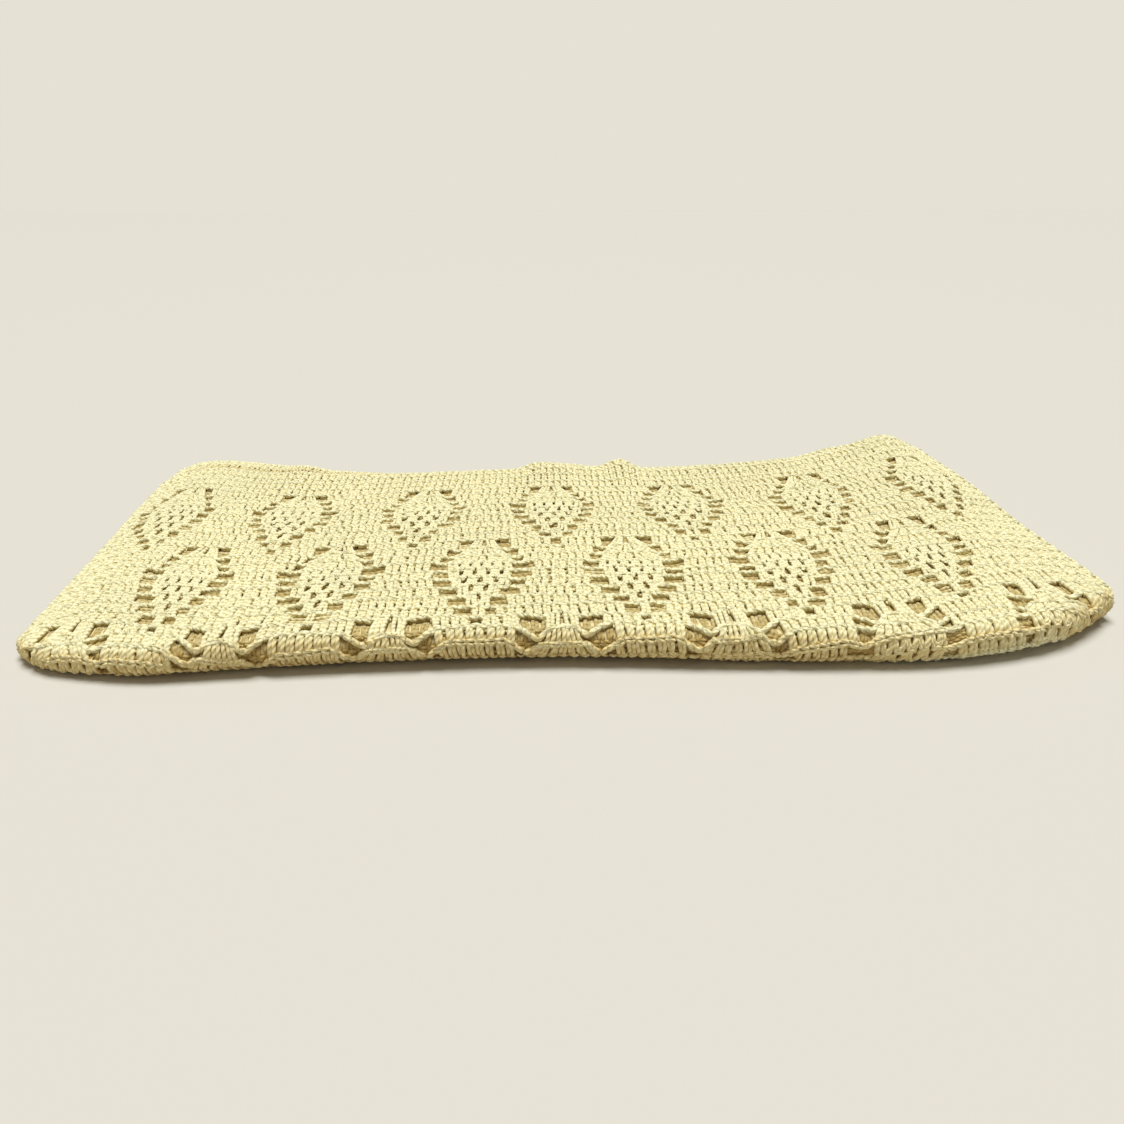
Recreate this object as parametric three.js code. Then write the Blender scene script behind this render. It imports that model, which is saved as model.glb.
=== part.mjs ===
// A crocheted afghan, folded for storage and lying on a flat surface.
//
// The afghan is folded in half across its width, with that fold at the right end (+X), so every run
// of the stack is a doubled cloth. The doubled cloth is then folded in half twice along its length.
// Its section, seen from the right end, is one back-and-forth path:
//
//   free edge ---------------- top run ---------------.
//   free edge ------------ upper middle run -------.   |
//          .-------------- lower middle run -------'   |  front, with the outer wrap
//          '----------------- bottom run --------------'
//   back (+Y)
//
// The whole cloth is one closed sheet. It is swept along that path, station by station across X.
// Units are millimetres, +Z is up, and the origin is at the bottom centre of the part's box.

import * as THREE from 'three';

// Crochet gauge and the folded size that follows from it.
const STITCH = 6.35;                  // width of one double crochet
const ROW = 12.7;                     // height of one row of double crochet
const MOTIF_STITCHES = 17;            // stitches from one pineapple motif to the next
const MOTIFS_ACROSS = 7;              // motifs across the folded width
const ROWS_TO_FIRST_MOTIF = 4.5;      // plain rows at the free edge, to the middle of the first motif row
const ROWS_FIRST_TO_THIRD_MOTIF = 18; // rows from the first set of motifs to the third, near the front

const HALF_WIDTH = MOTIFS_ACROSS * MOTIF_STITCHES * STITCH / 2;
const FREE_EDGE_Y = (ROWS_TO_FIRST_MOTIF + ROWS_FIRST_TO_THIRD_MOTIF) * ROW;

// The cloth and the stack of four doubled runs.
const CLOTH = 2.2;                    // thickness of the crocheted cloth
const DOUBLE_GAP = 0.6;               // between the two halves of the doubled cloth
const RUN_GAP = 1.3;                  // between neighbouring runs
const RUN_THICKNESS = 2 * CLOTH + DOUBLE_GAP;
const RUN_PITCH = RUN_THICKNESS + RUN_GAP;
const STACK = 4 * RUN_THICKNESS + 3 * RUN_GAP;
const LEAST_GAP = 0.35;               // kept where the front wrap passes the fold inside it

// The stack's outline and height, a row for each section across it:
//   across    place of the section on the cloth, from the middle of the folded width
//   frontX    where that place lies along X at the front of the stack
//   backX     the same at the back
//   freeEdge  how far the top run's free edge lies behind the nominal one
//   fold      how far forward the front fold reaches, from the row that lies at y = 0
//   peek      how far the under half of the top run reaches out behind the upper half
//   front, middle, back   height of the stack at those depths
const SECTIONS = [
  { across: -378, frontX: -343, backX: -363, freeEdge: -8, fold: -6, peek: 48, front: 14, middle: 15, back: 17 },
  { across: -350, frontX: -330, backX: -343, freeEdge: 8, fold: 7, peek: 38, front: 15, middle: 16, back: 19 },
  { across: -324, frontX: -310, backX: -320, freeEdge: 16, fold: 16, peek: 31, front: 16, middle: 17, back: 20 },
  { across: -270, frontX: -257, backX: -274, freeEdge: 3, fold: 25, peek: 32, front: 20, middle: 20, back: 20 },
  { across: -216, frontX: -209, backX: -218, freeEdge: -7, fold: 23, peek: 23, front: 23, middle: 23, back: 20 },
  { across: -108, frontX: -108, backX: -108, freeEdge: -2, fold: 19, peek: -2, front: 24, middle: 24, back: 21 },
  { across: 0, frontX: 0, backX: 0, freeEdge: 0, fold: 19, peek: -2, front: 24, middle: 25, back: 23 },
  { across: 108, frontX: 107, backX: 107, freeEdge: -2, fold: 26, peek: -2, front: 24, middle: 26, back: 23 },
  { across: 216, frontX: 213, backX: 228, freeEdge: 7, fold: 30, peek: -2, front: 24, middle: 27, back: 27 },
  { across: 270, frontX: 268, backX: 281, freeEdge: 19, fold: 26, peek: -2, front: 24, middle: 27, back: 31 },
  { across: 324, frontX: 323, backX: 332, freeEdge: 31, fold: 11, peek: -1, front: 24, middle: 26, back: 36 },
  { across: 378, frontX: 377, backX: 363, freeEdge: 25, fold: -22, peek: 0, front: 22, middle: 24, back: 31 },
];
const MIDDLE_Y = 115;                 // depth of the sections' middle height
const BACK_Y = 230;                   // depth of their back height

// Soft ridges that the free edge's ruffles send forward into the top run:
//   across   place of the crest, height of the crest
//   left     how far its steep left flank reaches, right   the same for its gentle right flank
//   reach    how far forward from the free edge it fades out
const RIDGES = [
  { across: -232, height: 3, left: 13, right: 15, reach: 70 },
  { across: -12, height: 6, left: 12, right: 50, reach: 45 },
  { across: 68, height: 9, left: 12, right: 13, reach: 55 },
  { across: 262, height: 3, left: 22, right: 20, reach: 40 },
  { across: 328, height: 6, left: 38, right: 34, reach: 60 },
];

// The four runs: the level of each in the stack, and how far its left edges and its fold at the
// right end lie inside the folded width.
const RUNS = {
  top: { level: 3, left: 0, end: 0 },
  bottom: { level: 0, left: 4, end: 2 },
  lowerMiddle: { level: 1, left: 17, end: 5 },
  upperMiddle: { level: 2, left: 28, end: 4 },
};
const INNER_FREE_EDGE = 13;           // the upper middle run's free edge lies this far under the top run
const BACK_FOLD = 6;                  // the back fold lies this far inside the lowest free edge
const FOLD_STRETCH = 1.15;            // depth of the two tight folds against their half height
const TUCK = 7;                       // how far the front wrap's lower part draws back at the middle
const TUCK_CENTRE = -60;              // where along X it draws back most
const TUCK_REACH = 190;               // how far along X from there it fades out
const EDGE_DROOP = 2;                 // how far the top run's free edge sinks
const EDGE_REACH = 14;                // over this distance
const END_DROOP = 4;                  // how far its left edge sinks over the ends of the other runs
const END_REACH = 25;                 // over this distance

// How finely each stretch of the path and of the width is cut into facets. The top run's are
// narrower near its free edge, as CROWDING goes above 1.
const STEPS = { top: 15, wrap: 8, bottom: 5, backFold: 6, lowerMiddle: 5, innerFold: 6, upperMiddle: 6 };
const ACROSS = [
  -1, -0.97, -0.94, -0.9, -0.84, -0.75, -0.62, -0.48, -0.28, -0.07, -0.03, 0.06, 0.14, 0.18, 0.22,
  0.4, 0.58, 0.72, 0.82, 0.91, 1,
];
const END_FOLD_STEPS = 4;
const CROWDING = 1.4;

// Smooth curve through one column of the sections.
function sectionValue(column, across) {
  const last = SECTIONS.length - 1;
  let i = 0;
  while (i < last - 1 && across > SECTIONS[i + 1].across) i += 1;
  const slope = (k) => {
    const a = SECTIONS[Math.max(k - 1, 0)];
    const b = SECTIONS[Math.min(k + 1, last)];
    return (b[column] - a[column]) / (b.across - a.across);
  };
  const span = SECTIONS[i + 1].across - SECTIONS[i].across;
  const t = (across - SECTIONS[i].across) / span;
  const start = SECTIONS[i][column] * (1 + 2 * t) * (1 - t) ** 2 + slope(i) * span * t * (1 - t) ** 2;
  const end = SECTIONS[i + 1][column] * (3 - 2 * t) * t ** 2 + slope(i + 1) * span * (t - 1) * t ** 2;
  return start + end;
}

const smooth = (t) => {
  const x = Math.min(Math.max(t, 0), 1);
  return x * x * (3 - 2 * x);
};

const freeEdge = (across) => FREE_EDGE_Y + sectionValue('freeEdge', across);
const lastEdge = (across) => freeEdge(across) + Math.max(sectionValue('peek', across), 0);

// Height that the ridges add to the top run.
function ridgeHeight(across, y) {
  return RIDGES.reduce((sum, ridge) => {
    const flank = across < ridge.across ? ridge.left : ridge.right;
    const profile = Math.exp(-(((across - ridge.across) / flank) ** 2));
    const fade = smooth(1 - (freeEdge(across) - y) / ridge.reach);
    return sum + ridge.height * profile * fade;
  }, 0);
}

// Height of the whole stack, from the three heights of a section.
function stackHeight(across, y) {
  const front = sectionValue('front', across);
  const middle = sectionValue('middle', across);
  const back = sectionValue('back', across);
  const toMiddle = smooth(y / MIDDLE_Y);
  const toBack = smooth((y - MIDDLE_Y) / (BACK_Y - MIDDLE_Y));
  return front + (middle - front) * toMiddle + (back - middle) * toBack;
}

// Below its nominal height the stack is pressed together; above it, the runs lift off each other.
const pressed = (across, y) => Math.min(stackHeight(across, y) / STACK, 1);
const extraHeight = (across, y) => Math.max(stackHeight(across, y) - STACK, 0);

// Where the stack is loose, its seven gaps between layers of cloth share the extra height.
const looseness = (across, y) => extraHeight(across, y) / 7;
const halfGap = (across, y) => (DOUBLE_GAP + looseness(across, y)) / 2;

// Height of the middle of a doubled run.
function runHeight(run, across, y) {
  const level = RUN_THICKNESS / 2 + run.level * RUN_PITCH;
  return level * pressed(across, y) + looseness(across, y) * (2 * run.level + 0.5);
}

// The top run also sinks at its left end, and it carries the ridges.
function topHeight(across, y) {
  const droop = END_DROOP * (1 - smooth((across + HALF_WIDTH) / END_REACH));
  return runHeight(RUNS.top, across, y) - droop * pressed(across, y) + ridgeHeight(across, y);
}

// Depth of the front wrap's centre, which the inner fold shares, and the wrap's half height.
function frontFold(across) {
  const reach = -sectionValue('fold', across);
  const top = topHeight(across, 0);
  const bottom = runHeight(RUNS.bottom, across, 0);
  const half = (top - bottom) / 2;
  const skin = (halfGap(across, 0) + CLOTH) * pressed(across, 0);
  const y = reach + skin + half;
  const away = (across - TUCK_CENTRE) / TUCK_REACH;
  return { y, half, top, bottom, tuck: TUCK * Math.exp(-(away ** 2)) };
}

// Depth of the back fold's centre, its half height, and the height of the lower of its two runs.
function backFold(across) {
  const reach = lastEdge(across) - BACK_FOLD;
  const low = runHeight(RUNS.bottom, across, reach);
  const high = runHeight(RUNS.lowerMiddle, across, reach);
  const half = (high - low) / 2;
  return { y: reach - FOLD_STRETCH * half - halfGap(across, reach) - CLOTH, half, low };
}

// One point of the path at a place across the cloth, as depth and height.
// `peek` is 1 for the inner half of the doubled cloth, which can reach out behind the outer half.
const PATH = {
  top(across, t, peek) {
    const back = freeEdge(across) + peek * sectionValue('peek', across);
    const y = back + (frontFold(across).y - back) * t;
    const droop = EDGE_DROOP * (1 - smooth((lastEdge(across) - y) / EDGE_REACH));
    return [y, topHeight(across, y) - droop * pressed(across, y)];
  },
  wrap(across, t) {
    const { y, half, top, tuck } = frontFold(across);
    const turn = Math.PI * t;
    const drawnBack = tuck * smooth((turn - Math.PI / 2) / (Math.PI / 2));
    return [y - half * Math.sin(turn) + drawnBack, top - half * (1 - Math.cos(turn))];
  },
  bottom(across, t) {
    const { y, tuck } = frontFold(across);
    const start = y + tuck;
    const depth = start + (backFold(across).y - start) * t;
    return [depth, runHeight(RUNS.bottom, across, depth)];
  },
  backFold(across, t) {
    const { y, half, low } = backFold(across);
    const turn = Math.PI * t;
    return [y + FOLD_STRETCH * half * Math.sin(turn), low + half * (1 - Math.cos(turn))];
  },
  lowerMiddle(across, t) {
    const back = backFold(across).y;
    const fold = frontFold(across);
    const front = fold.y + fold.tuck + LEAST_GAP;
    const y = back + (front - back) * t;
    return [y, runHeight(RUNS.lowerMiddle, across, y)];
  },
  innerFold(across, t) {
    const fold = frontFold(across);
    const y = fold.y + fold.tuck + LEAST_GAP;
    const low = runHeight(RUNS.lowerMiddle, across, y);
    const high = runHeight(RUNS.upperMiddle, across, y);
    const half = (high - low) / 2;
    const turn = Math.PI * t;
    return [y - FOLD_STRETCH * half * Math.sin(turn), low + half * (1 - Math.cos(turn))];
  },
  upperMiddle(across, t) {
    const fold = frontFold(across);
    const front = fold.y + fold.tuck + LEAST_GAP;
    const y = front + (freeEdge(across) - INNER_FREE_EDGE - front) * t;
    return [y, runHeight(RUNS.upperMiddle, across, y)];
  },
};

// The nodes along the path: which stretch, how far along it, and the insets of the edges there.
function pathNodes() {
  const order = ['top', 'wrap', 'bottom', 'backFold', 'lowerMiddle', 'innerFold', 'upperMiddle'];
  const joins = {
    wrap: [RUNS.top, RUNS.bottom],
    backFold: [RUNS.bottom, RUNS.lowerMiddle],
    innerFold: [RUNS.lowerMiddle, RUNS.upperMiddle],
  };
  const nodes = [];
  for (const stretch of order) {
    const [from, to] = joins[stretch] ?? [RUNS[stretch], RUNS[stretch]];
    const first = nodes.length === 0 ? 0 : 1;
    for (let k = first; k <= STEPS[stretch]; k += 1) {
      const t = (k / STEPS[stretch]) ** (stretch === 'top' ? CROWDING : 1);
      const mix = (key) => from[key] + (to[key] - from[key]) * t;
      nodes.push({ stretch, t, left: mix('left'), end: mix('end') });
    }
  }
  return nodes;
}

// A point on the middle of the doubled cloth. Across it the lines of the cloth run from frontX to backX.
function middlePoint(node, across, peek) {
  const [y, z] = PATH[node.stretch](across, node.t, peek);
  const frontX = sectionValue('frontX', across);
  const backX = sectionValue('backX', across);
  const depth = Math.min(Math.max(y / FREE_EDGE_Y, 0), 1);
  return new THREE.Vector3(frontX + (backX - frontX) * depth, y, z);
}

// The direction from the middle of the doubled cloth to its outer half.
function outward(node, across, peek) {
  if (node.stretch === 'bottom') return new THREE.Vector3(0, 0, -1);
  const nudge = 1;
  const step = 1e-3;
  const left = middlePoint(node, Math.max(across - nudge, -HALF_WIDTH), peek);
  const right = middlePoint(node, Math.min(across + nudge, HALF_WIDTH), peek);
  const before = middlePoint({ ...node, t: Math.max(node.t - step, 0) }, across, peek);
  const after = middlePoint({ ...node, t: Math.min(node.t + step, 1) }, across, peek);
  return right.sub(left).cross(before.sub(after)).normalize();
}

// A point on one half of the doubled cloth: `side` is 1 on the outer half and -1 on the inner half,
// and `depth` is 0 on the face towards the other half and CLOTH on the face away from it.
function layerPoint(node, share, side, depth) {
  const peek = side < 0 ? 1 : 0;
  const left = -HALF_WIDTH + node.left;
  const right = HALF_WIDTH - node.end;
  const across = left + (right - left) * (share + 1) / 2;
  const point = middlePoint(node, across, peek);
  const offset = (halfGap(across, point.y) + depth) * pressed(across, point.y);
  return point.addScaledVector(outward(node, across, peek), side * offset);
}

// A point on the fold at the right end, which joins the outer half to the inner one.
function endFoldPoint(node, turn, depth) {
  const across = HALF_WIDTH - node.end;
  const middle = middlePoint(node, across, 0);
  const inside = middlePoint(node, across - 1, 0);
  const along = middle.clone().sub(inside).normalize();
  const radius = (halfGap(across, middle.y) + depth) * pressed(across, middle.y);
  middle.addScaledVector(outward(node, across, 0), radius * Math.cos(turn));
  return middle.addScaledVector(along, radius * Math.sin(turn));
}

// All points of one face of the sheet: outer half, end fold, then the inner half back to the left.
function sheetFace(nodes, depth) {
  return nodes.map((node) => {
    const outer = ACROSS.map((share) => layerPoint(node, share, 1, depth));
    const fold = [];
    for (let k = 1; k < END_FOLD_STEPS; k += 1) {
      fold.push(endFoldPoint(node, Math.PI * k / END_FOLD_STEPS, depth));
    }
    const inner = ACROSS.map((share) => layerPoint(node, share, -1, depth)).reverse();
    return [...outer, ...fold, ...inner];
  });
}

// One closed solid from the sheet's two faces and the rim along its four edges.
function sheetGeometry() {
  const nodes = pathNodes();
  const faces = [sheetFace(nodes, CLOTH), sheetFace(nodes, 0)];
  const rows = nodes.length;
  const columns = faces[0][0].length;
  const positions = faces.flat(2).flatMap((point) => [point.x, point.y, Math.max(point.z, 0)]);
  const vertex = (face, row, column) => (face * rows + row) * columns + column;
  const triangles = [];
  const quad = (a, b, c, d) => triangles.push(a, b, c, a, c, d);
  // The two halves are cut along the same diagonals, so that they keep their distance.
  for (let r = 0; r < rows - 1; r += 1) {
    for (let c = 0; c < columns - 1; c += 1) {
      for (const face of [0, 1]) {
        const near = [vertex(face, r, c), vertex(face, r, c + 1)];
        const far = [vertex(face, r + 1, c), vertex(face, r + 1, c + 1)];
        const ring = face === 0 ? [near[0], far[0], far[1], near[1]] : [near[0], near[1], far[1], far[0]];
        const isOuterHalf = c < columns / 2;
        quad(...(isOuterHalf ? ring : [...ring.slice(1), ring[0]]));
      }
    }
  }
  for (let c = 0; c < columns - 1; c += 1) {
    const end = rows - 1;
    quad(vertex(0, 0, c), vertex(0, 0, c + 1), vertex(1, 0, c + 1), vertex(1, 0, c));
    quad(vertex(0, end, c + 1), vertex(0, end, c), vertex(1, end, c), vertex(1, end, c + 1));
  }
  for (let r = 0; r < rows - 1; r += 1) {
    const side = columns - 1;
    quad(vertex(0, r + 1, 0), vertex(0, r, 0), vertex(1, r, 0), vertex(1, r + 1, 0));
    quad(vertex(0, r, side), vertex(0, r + 1, side), vertex(1, r + 1, side), vertex(1, r, side));
  }
  const geometry = new THREE.BufferGeometry();
  geometry.setAttribute('position', new THREE.Float32BufferAttribute(positions, 3));
  geometry.setIndex(triangles);
  geometry.computeVertexNormals();
  return geometry;
}

function makeAfghan() {
  const yarn = new THREE.MeshStandardMaterial({ color: 0xf1e7bd, roughness: 0.95, metalness: 0 });
  const geometry = sheetGeometry();
  geometry.computeBoundingBox();
  const centre = geometry.boundingBox.getCenter(new THREE.Vector3());
  geometry.translate(-centre.x, -centre.y, 0);
  const mesh = new THREE.Mesh(geometry, yarn);
  mesh.name = 'afghan';
  return mesh;
}

const afghan = new THREE.Group();
afghan.add(makeAfghan());

export default afghan;
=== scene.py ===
import math

import bpy
import numpy as np
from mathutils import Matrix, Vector


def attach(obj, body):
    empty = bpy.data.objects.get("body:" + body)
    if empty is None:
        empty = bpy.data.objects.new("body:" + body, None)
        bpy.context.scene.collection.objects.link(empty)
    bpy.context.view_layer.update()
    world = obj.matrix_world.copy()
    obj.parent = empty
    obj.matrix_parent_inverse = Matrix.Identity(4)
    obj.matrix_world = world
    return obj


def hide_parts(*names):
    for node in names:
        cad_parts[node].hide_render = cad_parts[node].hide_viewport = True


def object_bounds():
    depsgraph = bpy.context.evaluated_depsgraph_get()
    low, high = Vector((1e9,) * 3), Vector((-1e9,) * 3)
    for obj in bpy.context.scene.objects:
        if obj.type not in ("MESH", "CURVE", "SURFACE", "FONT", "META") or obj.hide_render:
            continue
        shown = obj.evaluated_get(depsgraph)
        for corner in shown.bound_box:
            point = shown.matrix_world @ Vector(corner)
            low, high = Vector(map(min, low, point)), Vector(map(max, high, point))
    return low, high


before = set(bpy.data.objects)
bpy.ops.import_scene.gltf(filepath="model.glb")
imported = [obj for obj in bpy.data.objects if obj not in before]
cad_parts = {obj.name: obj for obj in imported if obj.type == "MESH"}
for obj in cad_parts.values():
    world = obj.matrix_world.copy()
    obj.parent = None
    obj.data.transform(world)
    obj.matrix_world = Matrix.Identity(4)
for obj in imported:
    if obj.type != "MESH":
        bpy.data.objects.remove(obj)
cad_low, cad_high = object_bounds()
dice = np.random.default_rng(41)

# ---- Sizes of the folded cloth, in millimetres, as in the part's source ----
STITCH = 6.35  # width of one double crochet
ROW = 12.7  # height of one row
MOTIFS = 7  # motifs across the cloth
MOTIF_STITCHES = 17
HALF_WIDTH = MOTIFS * MOTIF_STITCHES * STITCH / 2
FREE_EDGE_Y = 22.5 * ROW
CLOTH = 2.2
DOUBLE_GAP = 0.6  # between the two halves of the doubled cloth
RUN_GAP = 1.3  # between two runs of the doubled cloth
RUN_THICKNESS = 2 * CLOTH + DOUBLE_GAP
RUN_PITCH = RUN_THICKNESS + RUN_GAP
STACK = 4 * RUN_THICKNESS + 3 * RUN_GAP
LAYER_GAPS = 7
LEAST_GAP = 0.35
MIDDLE_Y = 115  # where the sections' middle and back heights hold
BACK_Y = 230
INNER_FREE_EDGE = 13  # how far the hidden free edge stays back
BACK_FOLD = 6  # how far the back fold stays behind the last edge
FOLD_STRETCH = 1.15  # depth of the back and inner folds against their height
TUCK, TUCK_CENTRE, TUCK_REACH = 7, -60, 190  # how far the front roll is drawn under itself
EDGE_DROOP, EDGE_REACH = 2, 14
END_DROOP, END_REACH = 4, 25

# The folded stack's sections, a row for each place across it.
SECTION_COLUMNS = "across frontX backX freeEdge fold peek front middle back".split()
SECTIONS = np.array(
    [
        (-378, -343, -363, -8, -6, 48, 14, 15, 17),
        (-350, -330, -343, 8, 7, 38, 15, 16, 19),
        (-324, -310, -320, 16, 16, 31, 16, 17, 20),
        (-270, -257, -274, 3, 25, 32, 20, 20, 20),
        (-216, -209, -218, -7, 23, 23, 23, 23, 20),
        (-108, -108, -108, -2, 19, -2, 24, 24, 21),
        (0, 0, 0, 0, 19, -2, 24, 25, 23),
        (108, 107, 107, -2, 26, -2, 24, 26, 23),
        (216, 213, 228, 7, 30, -2, 24, 27, 27),
        (270, 268, 281, 19, 26, -2, 24, 27, 31),
        (324, 323, 332, 31, 11, -1, 24, 26, 36),
        (378, 377, 363, 25, -22, 0, 22, 24, 31),
    ],
    float,
)
# Soft ridges at the free edge: place, height, left flank, right flank, reach.
RIDGES = [
    (-232, 3, 13, 15, 70),
    (-12, 6, 12, 50, 45),
    (68, 9, 12, 13, 55),
    (262, 3, 22, 20, 40),
    (328, 6, 38, 34, 60),
]
# The stretches of the path: samples for the stitches and for the ground under them, then the
# (left, end) insets where it starts and where it ends.
STRETCHES = [
    ("top", 130, 44, (0, 0), (0, 0)),
    ("wrap", 30, 10, (0, 0), (4, 2)),
    ("bottom", 110, 14, (4, 2), (4, 2)),
    ("back_fold", 14, 8, (4, 2), (17, 5)),
    ("lower", 100, 10, (17, 5), (17, 5)),
    ("inner_fold", 14, 8, (17, 5), (28, 4)),
    ("upper", 100, 14, (28, 4), (28, 4)),
]


def column(name, across):
    """One column of the sections, as a smooth curve across the stack."""
    x, y = SECTIONS[:, 0], SECTIONS[:, SECTION_COLUMNS.index(name)]
    n = len(x)
    across = np.asarray(across, float)
    i = np.clip(np.searchsorted(x, across, side="left") - 1, 0, n - 2)
    low = np.maximum(np.arange(n) - 1, 0)
    high = np.minimum(np.arange(n) + 1, n - 1)
    slope = (y[high] - y[low]) / (x[high] - x[low])
    span = x[i + 1] - x[i]
    t = (across - x[i]) / span
    start = y[i] * (1 + 2 * t) * (1 - t) ** 2 + slope[i] * span * t * (1 - t) ** 2
    return start + y[i + 1] * (3 - 2 * t) * t**2 + slope[i + 1] * span * (t - 1) * t**2


def smooth(t):
    x = np.clip(t, 0, 1)
    return x * x * (3 - 2 * x)


def free_edge(across):
    return FREE_EDGE_Y + column("freeEdge", across)


def last_edge(across):
    """Where the cloth ends at the back: the free edge, or the layer that comes out behind it."""
    return free_edge(across) + np.maximum(column("peek", across), 0)


def ridge_height(across, y):
    total = 0
    for place, height, left, right, reach in RIDGES:
        flank = np.where(across < place, left, right)
        fade = smooth(1 - (free_edge(across) - y) / reach)
        total = total + height * np.exp(-(((across - place) / flank) ** 2)) * fade
    return total


def stack_height(across, y):
    front, middle, back = (column(name, across) for name in ("front", "middle", "back"))
    to_back = smooth((y - MIDDLE_Y) / (BACK_Y - MIDDLE_Y))
    return front + (middle - front) * smooth(y / MIDDLE_Y) + (back - middle) * to_back


def pressed(across, y):
    """Below 1 where the stack is lower than its layers are thick."""
    return np.minimum(stack_height(across, y) / STACK, 1)


def looseness(across, y):
    """What a higher stack leaves between two layers."""
    return np.maximum(stack_height(across, y) - STACK, 0) / LAYER_GAPS


def half_gap(across, y):
    return (DOUBLE_GAP + looseness(across, y)) / 2


def run_height(level, across, y):
    """Height of the middle of a run, counted from the lowest."""
    nominal = (RUN_THICKNESS / 2 + level * RUN_PITCH) * pressed(across, y)
    return nominal + looseness(across, y) * (2 * level + 0.5)


def top_height(across, y):
    droop = END_DROOP * (1 - smooth((across + HALF_WIDTH) / END_REACH))
    return run_height(3, across, y) - droop * pressed(across, y) + ridge_height(across, y)


def front_fold(across):
    """The front roll: its depth, its half height, its top and how far it is drawn back."""
    top, bottom = top_height(across, 0), run_height(0, across, 0)
    half = (top - bottom) / 2
    skin = (half_gap(across, 0) + CLOTH) * pressed(across, 0)
    tuck = TUCK * np.exp(-(((across - TUCK_CENTRE) / TUCK_REACH) ** 2))
    return -column("fold", across) + skin + half, half, top, tuck


def back_fold(across):
    """The back fold: its depth, its half height and its lowest run."""
    reach = last_edge(across) - BACK_FOLD
    low, high = run_height(0, across, reach), run_height(1, across, reach)
    half = (high - low) / 2
    return reach - FOLD_STRETCH * half - half_gap(across, reach) - CLOTH, half, low


def path_point(stretch, across, t, peek):
    """Depth and height of the middle of the doubled cloth."""
    wrap_y, half, top, tuck = front_fold(across)
    inner_y = wrap_y + tuck + LEAST_GAP
    turn = np.pi * t
    if stretch == "top":
        back = free_edge(across) + peek * column("peek", across)
        y = back + (wrap_y - back) * t
        droop = EDGE_DROOP * (1 - smooth((last_edge(across) - y) / EDGE_REACH))
        return y, top_height(across, y) - droop * pressed(across, y)
    if stretch == "wrap":
        drawn_back = tuck * smooth((turn - np.pi / 2) / (np.pi / 2))
        return wrap_y - half * np.sin(turn) + drawn_back, top - half * (1 - np.cos(turn))
    if stretch == "bottom":
        y = wrap_y + tuck + (back_fold(across)[0] - wrap_y - tuck) * t
        return y, run_height(0, across, y)
    if stretch == "back_fold":
        y, half, low = back_fold(across)
        return y + FOLD_STRETCH * half * np.sin(turn), low + half * (1 - np.cos(turn))
    if stretch == "lower":
        back = back_fold(across)[0]
        y = back + (inner_y - back) * t
        return y, run_height(1, across, y)
    if stretch == "inner_fold":
        low, high = run_height(1, across, inner_y), run_height(2, across, inner_y)
        half = (high - low) / 2
        return inner_y - FOLD_STRETCH * half * np.sin(turn), low + half * (1 - np.cos(turn))
    y = inner_y + (free_edge(across) - INNER_FREE_EDGE - inner_y) * t
    return y, run_height(2, across, y)


def middle_point(stretch, across, t, peek):
    y, z = path_point(stretch, across, t, peek)
    front, back = column("frontX", across), column("backX", across)
    x = front + (back - front) * np.clip(y / FREE_EDGE_Y, 0, 1)
    return np.stack(np.broadcast_arrays(x, y, z), -1)


def unit(v):
    return v / np.maximum(np.linalg.norm(v, axis=-1, keepdims=True), 1e-12)


NEARBY, NEARBY_T = 1, 1e-3  # steps across and along the path, for its directions


def outward(stretch, across, t, peek):
    """From the middle of the doubled cloth to its outer half."""
    if stretch == "bottom":
        return np.broadcast_to(np.array([0.0, 0, -1]), np.broadcast(across, t).shape + (3,))
    right = middle_point(stretch, np.minimum(across + NEARBY, HALF_WIDTH), t, peek)
    left = middle_point(stretch, np.maximum(across - NEARBY, -HALF_WIDTH), t, peek)
    before = middle_point(stretch, across, np.maximum(t - NEARBY_T, 0), peek)
    after = middle_point(stretch, across, np.minimum(t + NEARBY_T, 1), peek)
    return unit(np.cross(right - left, before - after))


# ---- The cloth, in millimetres ----
YARN_DEPTH = 0.6  # middle of the stitches, from the face towards the other half of the cloth
STATION = 2.0  # step of the table along the cloth
LENGTH_BLEND = 30  # past the end fold, where lengths change over to the inner half's own


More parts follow.
